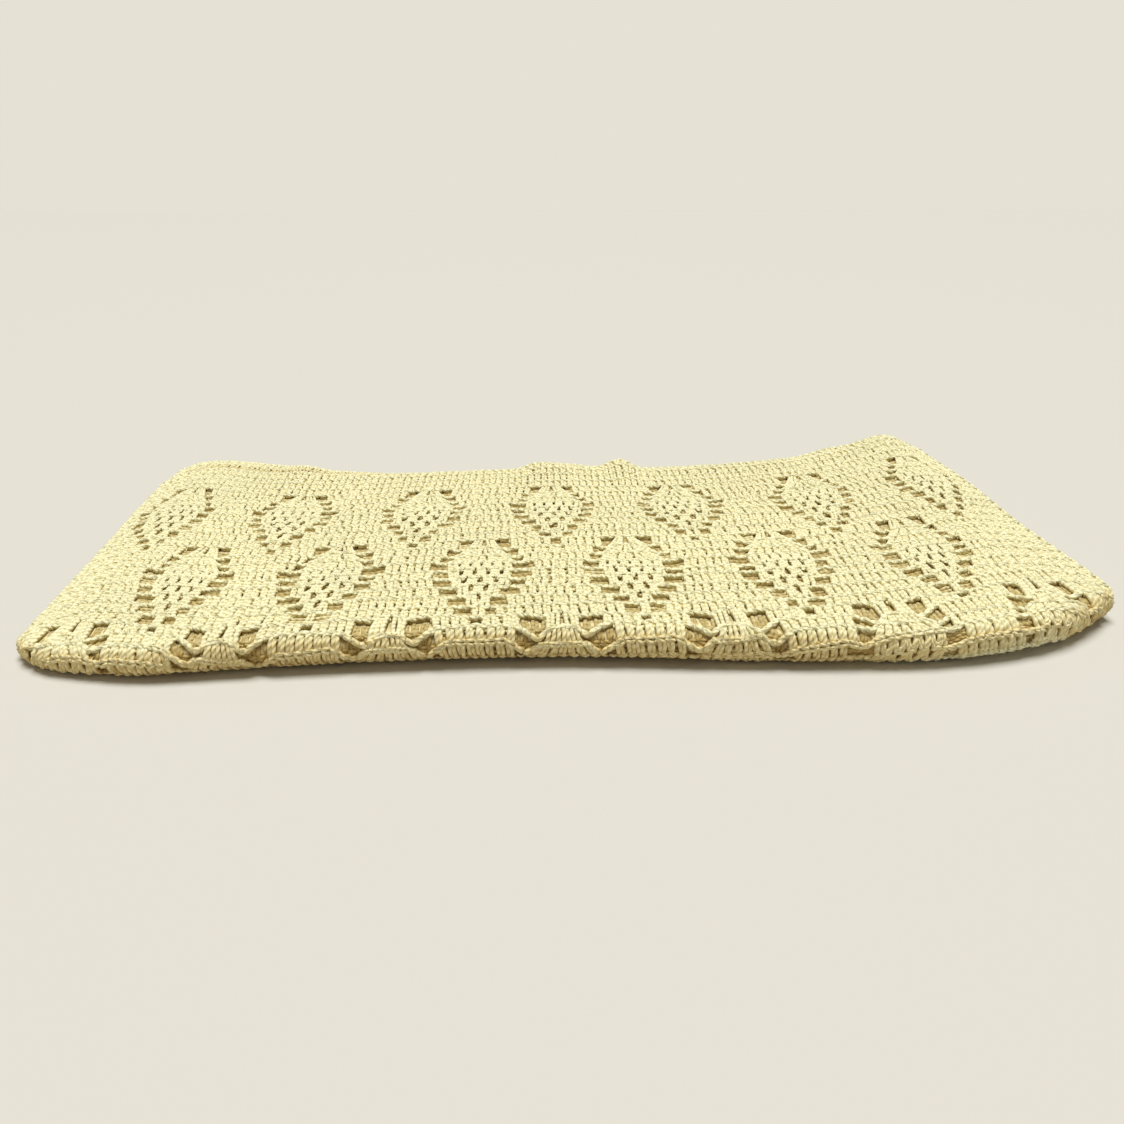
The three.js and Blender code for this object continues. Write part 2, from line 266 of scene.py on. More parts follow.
class Cloth:
    """The doubled cloth, sampled: outer half, end fold and inner half, along the whole path.

    `u` runs across the opened cloth from its left edge, over the fold, and `s` along it from the
    top free edge. Both are lengths in millimetres."""

    WIDTH = 2 * HALF_WIDTH
    FOLD = math.pi * (DOUBLE_GAP + CLOTH) / 2
    OPENED = 2 * WIDTH + FOLD

    def __init__(self, columns=150, turns=8, fine=True):
        share = np.linspace(-1, 1, columns)
        angle = np.linspace(0, np.pi, turns + 2)[1:-1]
        sampled = []
        for number, (stretch, many, few, start, end) in enumerate(STRETCHES):
            samples = many if fine else few
            t = np.linspace(0, 1, samples + 1)[min(number, 1) :, None]
            left = -HALF_WIDTH + start[0] + (end[0] - start[0]) * t
            right = HALF_WIDTH - start[1] - (end[1] - start[1]) * t
            across = left + (right - left) * (share + 1) / 2
            parts = []
            for side, peek in ((1, 0), (-1, 1)):
                p = middle_point(stretch, across, t, peek)
                parts.append((p, outward(stretch, across, t, peek) * side, across))
            p = middle_point(stretch, right, t, 0)
            along = unit(p - middle_point(stretch, right - NEARBY, t, 0))
            up = outward(stretch, right, t, 0)
            turned = up * np.cos(angle)[None, :, None] + along * np.sin(angle)[None, :, None]
            parts.insert(1, (np.repeat(p, turns, 1), turned, np.repeat(right, turns, 1)))
            parts[2] = tuple(a[:, ::-1] for a in parts[2])
            p, away, across = (np.concatenate(kind, 1) for kind in zip(*parts))
            press = pressed(across, p[..., 1])[..., None]
            gap = half_gap(across, p[..., 1])[..., None] * press
            sampled.append((p, away, gap, press))
        self.middle, self.away, self.gap, self.press = map(np.concatenate, zip(*sampled))
        half = (share + 1) / 2 * self.WIDTH
        fold = self.WIDTH + self.FOLD * angle / np.pi
        self.u = np.concatenate([half, fold, self.WIDTH + self.FOLD + half])
        self.s = self.lengths(columns - 1)

    def layer(self, depth):
        return self.middle + self.away * (self.gap + depth * self.press)

    def lengths(self, last):
        """How far each sample lies from the free edge. On the end fold it is the last column's."""
        step = np.linalg.norm(np.diff(self.layer(CLOTH), axis=0), axis=-1)
        own = np.concatenate([np.zeros((1, len(self.u))), np.cumsum(step, 0)])
        beyond = np.maximum(self.u - self.u[last], 0)
        weight = np.where(beyond > 0, np.exp(-((beyond / LENGTH_BLEND) ** 2)), 0)
        return own * (1 - weight) + own[:, [last]] * weight

    def resample(self):
        """Even steps along s, for placing yarn on the middle of the cloth."""
        stations = np.arange(0, self.s.max() + STATION, STATION)
        values = np.concatenate([self.layer(YARN_DEPTH), self.away, self.press], -1)
        self.table = np.empty((len(stations), *values.shape[1:]))
        for j, k in np.ndindex(values.shape[1:]):
            self.table[:, j, k] = np.interp(stations, self.s[:, j], values[:, j, k])

    def place(self, u, s):
        """Point on the middle of the cloth, its outward direction and how far it is pressed."""
        j = np.clip(np.searchsorted(self.u, u, side="right") - 1, 0, len(self.u) - 2)
        fu = ((u - self.u[j]) / (self.u[j + 1] - self.u[j]))[..., None]
        i = np.clip((s / STATION).astype(int), 0, len(self.table) - 2)
        fs = (s / STATION - i)[..., None]
        near = self.table[i, j] * (1 - fu) + self.table[i, j + 1] * fu
        far = self.table[i + 1, j] * (1 - fu) + self.table[i + 1, j + 1] * fu
        value = near * (1 - fs) + far * fs
        return value[..., :3], unit(value[..., 3:6]), value[..., 6:]

    def length_at(self, u):
        return np.interp(u, self.u, self.s[-1])


cloth = Cloth()
cloth.resample()

# ---- The chart: what each row holds, in stitches from the cloth's middle ----
# Rows of the pineapple motif: middle and width of the hole at each side, what fills the inside,
# its count, and how far the row's end sags (in rows) at some places out from the middle.
PINEAPPLE = {
    1: (2.6, 0.85, "shell", 3, [(0, 0.1), (1.2, 0.2), (2.6, 0.6), (4.4, 0)]),
    2: (3.6, 0.75, "fan", 8, [(0, 0.15), (2.6, 0.15), (3.7, 0.5), (5.2, 0)]),
    3: (4.2, 0.8, "spread", 7, [(0, 0.1), (3.2, 0.1), (4.3, 0.3), (5.6, 0)]),
    4: (4.7, 2.2, "net", 5, [(4.7, 0.2), (6.2, 0)]),
    5: (4.4, 1.8, "net", 4, [(4.4, 0.1), (5.9, 0)]),
    6: (4.15, 2.0, "net", 3, [(4.1, 0.12), (5.6, 0)]),
    7: (3.2, 1.9, "net", 2, [(3.2, 0.1), (4.7, 0)]),
    8: (2.2, 1.5, "net", 1, [(2.2, 0.1), (3.7, 0)]),
    9: (1.35, 1.5, "spread", 2, [(1.3, 0.1), (2.8, 0)]),
}
# The first rows of the set at the front fold are pulled wide open.
OPENED = {
    1: (2.9, 2.0, "shell", 3, [(0, 0.25), (1.2, 0.35), (2.4, 1.0), (4.8, 0)]),
    2: (3.8, 1.95, "star", 7, [(0, 0.32), (2.5, 0.28), (3.5, 0.8), (5.8, 0)]),
    3: (4.3, 1.2, "spread", 7, [(0, 0.15), (3.2, 0.15), (4.4, 0.4), (6.0, 0)]),
}
TIP = 10  # the motif's last row, a single hole
FRONT_SET = 2
LED_IN = [(0, -0.3), (1.7, 0.3), (3.4, 0)]  # sag of the row before the front set
FIRST_BAND = 4  # rows of plain double crochet before the first set of motifs
SET_ROWS = 9  # rows from one set of motifs to the next
OPENED_BAND = FIRST_BAND + SET_ROWS * FRONT_SET  # the front set's first row
BANDS = 93  # rows in the whole cloth
EDGE = MOTIFS * MOTIF_STITCHES / 2
POSTS_PER_STITCH = 1.07
FEWEST = 0.2  # a narrower stretch between two motifs holds no stitch
CHAIN, CORD = 0.72, 0.55  # size of chains over holes, and of the front set's, against a braid
CHAIN_PITCH = 0.8
BACK_SET_SIZE, END_MOTIF_SIZE = 0.78, 0.65  # width of the holes in the smaller motifs
HOLE_SHIFT, HOLE_SLACK = 0.14, 0.24  # most that a hole lies off its place, and off its width
SLANT = 0.17  # most that the side of a hole leans
TIP_HALF, TIP_SLACK = 0.5, 0.1
SHELL_FOOT, OPENED_SHELL_FOOT, SHELL_SPLIT = 1.15, 1.75, 0.3
FAN_FOOT, STAR_FOOT, STAR_HEAD, SPREAD_FOOT = 1.2, 1.45, 1.95, 2.6
NET_INSET = 0.55  # from the hole to the first loop of the net


def pineapple(number, row):
    return (OPENED if number == FRONT_SET and row in OPENED else PINEAPPLE)[row]


def motifs(band):
    """(middle, row of the motif, number of the set) for every motif that a band crosses."""
    found = []
    number, row = divmod(band - FIRST_BAND, SET_ROWS)
    for row, number in [(row + 1, number), (TIP, number - 1)][: 1 + (row == 0)]:
        places = range(-3, 4) if number % 2 == 0 else np.arange(-2.5, 3)
        found += [(place * MOTIF_STITCHES, row, number) for place in places if number >= 0]
    return sorted(found)


# The hand's unevenness for every set, place, row and side: a hole's width, shift and two slants.
hand = dice.uniform(-1, 1, (7, MOTIFS, TIP + 1, 2, 4))


def hole_edges(number, place, row, side):
    """Inner and outer end of a hole beside the motif's middle, at its foot and at its head."""
    middle, width = pineapple(number, row)[:2]
    slack, shift, inner, outer = hand[number, int(place + 3), row, side]
    if number == 0:
        width *= BACK_SET_SIZE
    if number == FRONT_SET and abs(place) > 2.5:
        width *= END_MOTIF_SIZE
    middle, half = middle + HOLE_SHIFT * shift, width * (1 + HOLE_SLACK * slack) / 2
    leans = (-SLANT, SLANT)
    return [(middle - half + k * inner, middle + half + k * outer) for k in leans]


def filling(fill, count, number, left_foot, left_head, right_foot, right_head):
    """The inside of a motif's row, between the holes at its sides."""
    left, right = left_head[0], right_head[0]
    if fill == "shell":
        foot = OPENED_SHELL_FOOT if number == FRONT_SET else SHELL_FOOT
        split = SHELL_SPLIT
        yield "fan", -foot, -0.1, -left, -split, count
        yield "hole", -split, split, -split, split, 1
        yield "fan", 0.1, foot, split, right, count
    elif fill == "fan":
        yield "fan", -FAN_FOOT, FAN_FOOT, -left, right, count
    elif fill == "star":
        yield "hole", -left, -STAR_HEAD, -left, -STAR_HEAD, 2
        yield "fan", -STAR_FOOT, STAR_FOOT, -STAR_HEAD, STAR_HEAD, count
        yield "hole", STAR_HEAD, right, STAR_HEAD, right, 2
    elif fill == "spread":
        yield "fan", -min(SPREAD_FOOT, left), min(SPREAD_FOOT, right), -left, right, count
    else:
        low, high = NET_INSET - left, right - NET_INSET
        yield "fan", -left_foot[0], low, -left, low, 1
        yield "net", low, high, low, high, count
        yield "fan", high, right_foot[0], high, right, 1


def motif_row(number, place, row):
    """One row of a motif, and how far its foot and its head reach to the left and to the right."""
    if row == TIP:
        wide = TIP_HALF + TIP_SLACK * hand[number, int(place + 3), TIP, 0, 0]
        return [("hole", -wide, wide, -wide, wide, 1)], (wide, wide), (wide, wide)
    fill, count = pineapple(number, row)[2:4]
    left, right = (hole_edges(number, place, row, side) for side in (0, 1))
    many = [max(round((head[1] - head[0]) / CHAIN_PITCH), 1) for foot, head in (left, right)]
    parts = [("hole", *(-x for ends in left for x in reversed(ends)), many[0])]
    parts += filling(fill, count, number, *left, *right)
    parts += [("hole", *right[0], *right[1], many[1])]
    return parts, [ends[1] for ends in left], [ends[1] for ends in right]


def segments(band):
    """The band from left to right: (kind, foot start, foot end, head start, head end, count)."""
    out = []
    foot_at = head_at = -EDGE

    def posts(foot, head):
        n = max(round(POSTS_PER_STITCH * (head - head_at)), 1)
        return "posts", foot_at, foot, head_at, head, n

    for c, row, number in motifs(band):
        parts, left, right = motif_row(number, c / MOTIF_STITCHES, row)
        if c - left[1] > head_at + FEWEST:
            out.append(posts(c - left[0], c - left[1]))
        out += [(kind, *(c + x for x in ends), n) for kind, *ends, n in parts]
        foot_at, head_at = c + right[0], c + right[1]
    return [*out, posts(EDGE, EDGE)]


WAVES = ((41, 1.0), (17, 0.6), (6.1, 0.3))  # slow waves in the rows: length, size in millimetres
wave_phase = dice.uniform(0, 2 * np.pi, (200, 3))


def line(band, x):
    """Where the top of a band's stitches lies along s, at x stitches across."""
    x = np.asarray(x, float)
    s = (band + 1) * ROW + np.zeros_like(x)
    for (length, size), phase in zip(WAVES, wave_phase[band + 1]):
        s = s + size * np.sin(2 * np.pi * x / length + phase)
    bends = [(c, pineapple(number, row)[4]) for c, row, number in motifs(band) if row != TIP]
    if band == OPENED_BAND - 1:
        bends += [(c, LED_IN) for c, row, number in motifs(band + 1) if row == 1]
    for c, bend in bends:
        places, sags = zip(*bend)
        s = s + ROW * np.interp(np.abs(x - c), places, sags)
    return s


def to_u(x, half=1):
    """From stitches across to u. Across the inner half, u runs back to the left."""
    u = x * STITCH + HALF_WIDTH
    return u if half > 0 else Cloth.OPENED - u


# ---- Yarn: tubes swept along lines on the cloth, in millimetres ----
REST = 0.9  # height below which yarn is pressed flat
UNDERSIDE = 330  # from here on along s, stitches are as flat as the cloth
ROLL, ROLL_FADE = 250, 30  # where along s the front roll's painted shade starts, and over how much
ROLL_END, ROLL_END_FADE = 345, 15
# The roll's painted shades: how much, the lean at which each starts, and over how much lean it
# grows.
PAINTED_ROLL_SHADES = ((-0.5, 1, 0.35), (-1.6, 0.25, 0.9))
PAINTED_EDGE_SHADOW, EDGE_SEEN, EDGE_FADE = -1.8, 11, 5  # painted shadow beside the free edge, and where it fades


def rested(z):
    """Presses yarn flat where it would reach below the surface that it lies on."""
    return np.where(z < REST, REST * np.exp(np.minimum(z - REST, 0) / REST), z)


def painted_roll_shade(u, s, away):
    """Painted shade: yarn on the front roll is painted warmer and darker where it turns down to
    the underside.
    """
    tone = sum(most * smooth((start - away[..., 2]) / span) for most, start, span in PAINTED_ROLL_SHADES)
    tone = tone * smooth((s - ROLL) / ROLL_FADE) * smooth((ROLL_END - s) / ROLL_END_FADE)
    return tone * (u < Cloth.WIDTH)


def painted_edge_shadow(u, s, away):
    """Painted shadow: the inner half is painted darker where it comes out from under the outer
    half's free edge.
    """
    across = Cloth.OPENED - HALF_WIDTH - u
    seen = np.maximum(column("peek", across), 0)
    return PAINTED_EDGE_SHADOW * np.exp(-((np.maximum(seen - EDGE_SEEN - s, 0) / EDGE_FADE) ** 2))


class Yarn:
    """Collects tubes that all become one mesh."""

    def __init__(self, name):
        self.name = name
        self.shadow = painted_roll_shade  # painted shade: deepens the yarn's colour by place
        self.shade_warmth = 1  # how much that painted shade warms the colour too
        self.points, self.faces, self.uvs, self.shades = [], [], [], []
        self.count = 0

    def sweep(self, u, s, n, radius, sides, face=1, tone=0.0):
        """Tubes through (tubes, rings) arrays of places on the cloth.

        `n` is the height above the cloth's middle, towards `face`; `tone` lifts the yarn on the
        painted shade ramp, which lightens the colour."""
        if u.size == 0:
            return
        tubes, rings = u.shape
        base, away, press = cloth.place(u, s)
        flat = (s >= UNDERSIDE) | (u >= Cloth.WIDTH)
        squeeze = np.where(flat[..., None], press, 1)
        centre = base + away * (n * face)[..., None] * squeeze
        along = unit(np.gradient(centre, axis=1))
        side = unit(np.cross(along, away))
        up = np.cross(side, along)
        radius = np.broadcast_to(radius, u.shape)
        angle = 2 * np.pi * np.arange(sides) / sides - np.pi / 2
        cos, sin = np.cos(angle)[:, None], np.sin(angle)[:, None]
        ring = side[..., None, :] * cos + up[..., None, :] * sin
        size = radius[..., None, None] * (0.5 + 0.5 * squeeze)[..., None, :]
        points = centre[..., None, :] + ring * size
        points[..., 2] = rested(points[..., 2])
        index = self.count + np.arange(tubes * rings * sides).reshape(tubes, rings, sides)
        after = np.roll(index, -1, axis=2)
        faces = np.stack([index[:, :-1], after[:, :-1], after[:, 1:], index[:, 1:]], -1)
        step = np.linalg.norm(np.diff(centre, axis=1), axis=-1)
        length = np.concatenate([np.zeros((tubes, 1)), np.cumsum(step, 1)], 1)
        length = length + dice.uniform(0, 8, (tubes, 1))
        part = np.arange(sides + 1) / sides
        uv = np.empty((tubes, rings - 1, sides, 4, 2))
        uv[..., :2, 0] = length[:, :-1, None, None]
        uv[..., 2:, 0] = length[:, 1:, None, None]
        uv[..., ::3, 1], uv[..., 1:3, 1] = part[:-1, None], part[1:, None]
        # Painted shade: height over the cloth's middle, lower yarn shaded darker; a random number
        # for the tube; and how much the roll's painted shade warms.
        shadow = self.shadow(u, s, away)
        shade = np.empty((tubes, rings, sides, 3))
        height = (n + tone + shadow)[..., None]
        shade[..., 0] = height + face * radius[..., None] * np.sin(angle)
        shade[..., 1] = dice.uniform(0, 1, (tubes, 1, 1))
        shade[..., 2] = -shadow[..., None] * self.shade_warmth
        self.points.append(points.reshape(-1, 3))
        self.faces.append(faces.reshape(-1, 4))
        self.uvs.append(uv.reshape(-1, 2))
        self.shades.append(shade.reshape(-1, 3))
        self.count += tubes * rings * sides


# A double crochet: how it leans, strays, bulges and turns, its strands, and the one where it is
# slim. Then the strands that lie under the stitches: height, place in the row, radius.
LEAN, STRAY, BULGE, BULGE_STRAY = 0.4, 0.3, 0.35, 0.12
TURN_START, TURN_STRAY, TURNS = -0.31, 0.11, 0.62
SPREAD, SQUARENESS, LIFT, STRAND_LIFT, STRAND = 1.38, 0.7, 0.1, 0.6, 1.66
SLIM, SLIM_LIFT, SLIM_STRAND, COARSE_STRAND = 0.68, 0.3, 3.2, 2.0
UNDER, UNDER_LINE, UNDER_STRAND = -2.3, 3.2, 1.85
WALL, WALL_LINE, WALL_STRAND = -1.1, 0.7, 1.45
BED, BED_LINE, BED_STRAND, BED_STEP, BED_TONE = -1.5, 3.0, 1.8, 1.6, 0.3
# Whole rows of the other half: how far they are out of step, and where they show, in stitches.
UNDER_SHIFT, UNDER_ROWS = 4, {1: (1.5, 4.3), 2: (1.8, 5.1), 3: (3.4, 5.3)}
UNDER_PITCH, UNDER_DEPTH = 1.02, UNDER - 0.2


def post_tubes(yarn, feet, heads, pitches, face=1, fine=True, low=0.0, tone=0.0):
    """Double crochets: two strands that cross half way up, or one where they crowd or show less.

    Feet and heads are pairs (u, s), and pitches are those at the feet and at the heads."""
    (foot_u, foot_s), (head_u, head_s), (foot_pitch, head_pitch) = feet, heads, pitches
    count = len(foot_u)
    if not count:
        return
    t = np.linspace(0, 1, 6 if fine else 3)[None]
    lean = dice.normal(0, LEAN, (count, 1))
    foot_u = foot_u + dice.normal(0, STRAY, count)
    axis_u = foot_u[:, None] + (head_u - foot_u)[:, None] * t + lean * np.sin(np.pi * t)
    axis_s = foot_s[:, None] + (head_s - foot_s)[:, None] * t
    bulge = low + (BULGE + dice.normal(0, BULGE_STRAY, (count, 1))) * np.sin(np.pi * t)
    pitch = foot_pitch[:, None] + (head_pitch - foot_pitch)[:, None] * t
    width = np.clip(0.1 + 0.9 * pitch, 0.3, 1.05) * dice.uniform(0.93, 1.07, (count, 1))
    if not fine:
        yarn.sweep(axis_u, axis_s, bulge - 0.1, COARSE_STRAND * width, 4, face, tone)
        return
    slim = width.mean(1) < SLIM
    twist = np.sin(5 * np.pi * t + dice.uniform(0, 6, (slim.sum(), 1)))
    n = SLIM_LIFT + bulge[slim] + 0.15 * twist
    radius = np.clip(SLIM_STRAND * pitch[slim], 0.9, 1.9)
    yarn.sweep(axis_u[slim], axis_s[slim], n, radius, 5, face, tone)
    full = ~slim
    width = width[full]
    begin = TURN_START + dice.normal(0, TURN_STRAY, (full.sum(), 1))
    for strand in (0, 1):
        turn = np.pi * (begin + t * TURNS + strand)
        aside = np.sign(np.cos(turn)) * np.abs(np.cos(turn)) ** SQUARENESS
        n = LIFT + bulge[full] + STRAND_LIFT * np.sin(turn)
        radius = (STRAND - 0.1 * np.abs(2 * t - 1) ** 3) * (0.3 + 0.7 * width)
        yarn.sweep(axis_u[full] + SPREAD * width * aside, axis_s[full], n, radius, 5, face, tone)


def deep_tubes(yarn, x, s, depth, stray, radius, tone):
    """Plain strands through places that are x stitches across and s along the cloth."""
    n = depth + dice.normal(0, stray, s.shape)
    yarn.sweep(np.broadcast_to(to_u(x), s.shape), s, n, radius, 4, 1, tone)


def under_tubes(yarn, low, high, band, lift, tone):
    """Strands of the cloth's other half, seen through an opening."""
    x = np.linspace(low - 0.3, high + 0.3, max(round(high - low) + 2, 4))
    middle = (line(band - 1, x) + line(band, x)) / 2
    lines = np.array([[-UNDER_LINE], [0], [UNDER_LINE]])
    s = middle + lines + dice.normal(0, 0.35, (3, len(x)))
    deep_tubes(yarn, x, s, UNDER + lift, 0.3, UNDER_STRAND, tone)


def wall_tubes(yarn, low, high, band, tone):
    """The stitches' sides around an opening, under the braids that bound it."""
    x = np.linspace(low - 0.2, high + 0.2, 4)
    s = np.stack([line(band - 1, x) + WALL_LINE, line(band, x) - WALL_LINE])
    deep_tubes(yarn, x, s, WALL, 0.15, WALL_STRAND, tone)


def bed_tubes(yarn, foot_a, foot_b, head_a, head_b, band):
    """The row's depth: it closes the gaps between the stitches at their feet and heads."""
    many = max(round((head_b - head_a) / BED_STEP), 2) + 1
    x = np.linspace((foot_a, head_a), (foot_b, head_b), many, axis=1)
    s = np.stack([line(band - 1, x[0]) + BED_LINE, line(band, x[1]) - BED_LINE])
    deep_tubes(yarn, x, s, BED, 0.2, BED_STRAND, BED_TONE)


def under_rows(yarn, band):
    """Whole stitches of the cloth's other half, behind the wide openings of the front set."""
    for c, row, number in motifs(band):
        if number != FRONT_SET or row not in UNDER_ROWS:
            continue
        for side in (-1, 1):
            x = c + side * np.arange(*UNDER_ROWS[row], UNDER_PITCH) + dice.uniform(-0.2, 0.2)
            x = np.sort(x[np.abs(x) < EDGE - 0.6])
            u, ones = to_u(x), np.ones(len(x))
            foot = band * ROW + UNDER_SHIFT + dice.normal(0, 0.3, len(x))
            heads = u + dice.normal(0, 0.5, len(x)), foot + ROW
            pitches = 0.95 * ones, 0.95 * ones
            # The other half's rows are painted a little darker, as shade.
            post_tubes(yarn, (u, foot), heads, pitches, low=UNDER_DEPTH, tone=-0.2)
            s = ((band + 1) * ROW + UNDER_SHIFT) * ones
            braid_tubes(yarn, u, s, ones, 1, low=UNDER_DEPTH, tone=-0.5)


# A braid's head: places along the stitch, its arms' spread and lift there, their radius and sides.
HEAD = ([0.06, 0.36, 0.7, 0.95], [0.6, 1.15, 1.65, 1.15], [0.95, 1.35, 0.75, -0.1], 1.4, 5)
COARSE_HEAD = ([0.1, 0.7], [0.7, 1.7], [1.0, 0.5], 1.45, 4)
HEAD_STRAY, ARM_STRAY, BRAID_END = 0.12, 0.18, 0.3
CHAIN_SINK, CHAIN_THIN, CHAIN_TONE = 1.4, 0.16, 2.8  # for a chain, by how much smaller it is, and how much lighter its painted shade
CORD_SINK, CORD_THICK = 0.1, 1.12
# A net's loops: each strand's share of its cell and how far it hangs past the next row's line.
LOOP_SPANS, LOOP_HANGS, LOOP_START = (0.56, 0.9), (-2.0, 0.4), 1.6
LOOP, LOOP_TONE, KNOT, KNOT_TONE, KNOT_HALF, KNOT_DROP = 1.42, 0.4, 1.45, 0.2, 2.5, 2.0
KNOT_S, KNOT_N = np.array([[1.5, 0.3, -0.3, 0.2, 1.4], [0.1, 1.2, 1.7, 1.2, 0.1]])


def braid_tubes(yarn, u, s, size, heading, face=1, fine=True, low=0.0, tone=0.0):
    """The stitches' heads: two strands that open into a V at every stitch along the row."""
    if len(u) < 2:
        return
    *shape, strand, sides = HEAD if fine else COARSE_HEAD
    fractions, spread, lift = np.array(shape)
    if heading < 0:
        fractions, spread, lift = 1 - fractions[::-1], spread[::-1], lift[::-1]
    span = np.diff(u)
    line_u = (u[:-1, None] + span[:, None] * fractions).ravel()
    line_s = (s[:-1, None] + np.diff(s)[:, None] * fractions).ravel()
    narrow = np.clip(np.abs(span) / STITCH, 0.5, 1.1)
    size = size[:-1]
    cord = size == CORD
    spread = (spread * ((0.55 + 0.45 * narrow) * size)[:, None]).ravel()
    less, many = 1 - size, len(fractions)
    lift = (lift - np.where(cord, CORD_SINK, CHAIN_SINK * less)[:, None]).ravel() + low
    thick = np.repeat(np.where(cord, CORD_THICK, 1 - CHAIN_THIN * less), many)
    tones = np.repeat(np.where(cord, 0, CHAIN_TONE * less), many) + tone
    for arm in (-1, 1):
        n = lift + dice.normal(0, HEAD_STRAY, len(lift))
        radius = thick * strand
        radius[[0, -1]] *= BRAID_END
        arm_s = line_s + arm * spread + dice.normal(0, ARM_STRAY, len(lift))
        yarn.sweep(line_u[None], arm_s[None], n[None], radius[None], sides, face, tones[None])


def net_tubes(yarn, low, high, count, band, fine):
    """Chain loops of the pineapple, each hanging from the row before it."""
    cell = (high - low) / count
    t = np.linspace(0, 1, 9 if fine else 5)
    for j in range(count):
        a, b = low + cell * j, low + cell * (j + 1)
        middle = to_u((a + b) / 2)
        start, end = (float(line(band + k, (a + b) / 2)) for k in (-1, 0))
        for strand in (0, 1):
            half = (b - a) / 2 * STITCH * LOOP_SPANS[strand]
            u = middle - half * np.cos(np.pi * t)
            drop = end - start + LOOP_HANGS[strand]
            s = start - LOOP_START + drop * np.sin(np.pi * t) ** 0.6
            n = 0.35 + 0.7 * np.sin(np.pi * t) + 0.3 * np.sin(6 * np.pi * t + strand * 2)
            yarn.sweep(u[None], s[None], n[None], LOOP, 5, 1, LOOP_TONE)
        u = middle + np.linspace(-KNOT_HALF, KNOT_HALF, len(KNOT_S))
        s = end - KNOT_DROP + KNOT_S
        yarn.sweep(u[None], s[None], KNOT_N[None], KNOT, 5, 1, KNOT_TONE)


WALLED = 0.7  # a narrower hole in the first wide open row has no walls
OPENED_BANDS = range(OPENED_BAND, OPENED_BAND + len(OPENED))
CORD_BANDS = OPENED_BANDS[:2]  # their chains are drawn out into cords
CHAIN_BOW = 1.1  # most that a chain over a hole bows
TOUCH = 0.4  # from a row's end to the feet and heads of its posts
SIDE_LENGTH = 1165  # of the cloth's left edge


def fill_hole(yarn, foot_a, foot_b, head_a, head_b, band, fine):
    """What shows through a hole: its walls, and strands of the cloth's other half."""
    # Each hole's strands lie at a random depth, and their painted shade is lighter or darker at
    # random.
    lift, tone = dice.uniform(-0.7, 0.6), dice.uniform(-1.3, 0.4)
    if band < FIRST_BAND + SET_ROWS:
        lift, tone = 0.2 + lift / 2, 0.2 + tone / 2
    if not fine:
        return
    ends = min(foot_a, head_a), max(foot_b, head_b)
    if head_b - head_a > WALLED or band != OPENED_BAND:
        # The walls' painted shade is lighter before the front set and darker in its first row.
        wall_tubes(yarn, *ends, band, 0.9 if band < OPENED_BAND else -0.2)
    if band not in OPENED_BANDS:
        under_tubes(yarn, *ends, band, lift, tone)


def crochet(yarn, bands, reach=(-EDGE, EDGE), half=1, face=1, fine=True, plain=False):
    """Works some bands of one half of the cloth: the stitches, then the braids of their heads."""
    for band in bands:
        rows = [("posts", -EDGE, EDGE, -EDGE, EDGE, round(2 * EDGE))] if plain else segments(band)
        posts, runs = [], [[]]
        if not plain and band in OPENED_BANDS:
            under_rows(yarn, band)
        for kind, foot_a, foot_b, head_a, head_b, count in rows:
            if kind == "net":
                crest = (head_b - head_a) / count / 2
                runs[-1].append((head_a + crest, CHAIN, 0))
                runs.append([(head_b - crest, CHAIN, 0)])
                if fine:
                    under_tubes(yarn, head_a, head_b, band, 0.3, 0.0)
                net_tubes(yarn, foot_a, foot_b, count, band, fine)
                continue
            hole = kind == "hole"
            edge = np.linspace(head_a, head_b, count + 1)
            inside = (edge > reach[0] - 0.01) & (edge < reach[1] + 0.01)
            arch = np.sin(np.pi * np.arange(count + 1) / count)
            bow = dice.uniform(-CHAIN_BOW, CHAIN_BOW) * arch * hole
            size = (CORD if band in CORD_BANDS else CHAIN) if hole else 1
            runs[-1] += [(x, size, b) for x, b in zip(edge[inside], bow[inside])]
            if hole:
                fill_hole(yarn, foot_a, foot_b, head_a, head_b, band, fine)
                continue
            if fine and half > 0:
                bed_tubes(yarn, foot_a, foot_b, head_a, head_b, band)
            start = np.array([foot_a, head_a])
            width = np.array([foot_b, head_b]) - start
            place = start + width * ((np.arange(count) + 0.5) / count)[:, None]
            keep = (place[:, 1] > reach[0]) & (place[:, 1] < reach[1])
            pitch = np.broadcast_to(width / count, place.shape)
            posts.append(np.concatenate([place, pitch], 1)[keep])
        foot, head, *pitches = np.concatenate(posts).T
        feet = to_u(foot, half), line(band - 1, foot) + TOUCH
        heads = to_u(head, half), line(band, head) - TOUCH
        keep = heads[1] < cloth.length_at(heads[0]) - 1
        pairs = ([a[keep] for a in pair] for pair in (feet, heads, pitches))
        post_tubes(yarn, *pairs, face, fine)
        for run in runs:
            braid_run(yarn, run, band, half, face, fine)


def braid_run(yarn, run, band, half, face, fine):
    """A braid through (place, size, bow) along a row's end; the last one at a place holds."""
    sizes = {round(x, 3): (size, bow) for x, size, bow in run}
    x = np.array(sorted(sizes))
    if len(x) < 2:
        return
    size, bow = np.array([sizes[place] for place in x], float).T
    u, s = to_u(x, half), line(band, x) + bow
    keep = s < cloth.length_at(u) + 1
    heading = 1 if band % 2 else -1
    braid_tubes(yarn, u[keep], s[keep], size[keep], heading, face, fine)


def starting_edge(yarn, half=1, face=1):
    """The braid along the free edge."""
    x = np.linspace(-EDGE, EDGE, round(2 * EDGE) + 1)
    s = 0.6 + 0.3 * np.sin(x * 1.3)
    braid_tubes(yarn, to_u(x, half), s, np.ones(len(x)), 1, face)


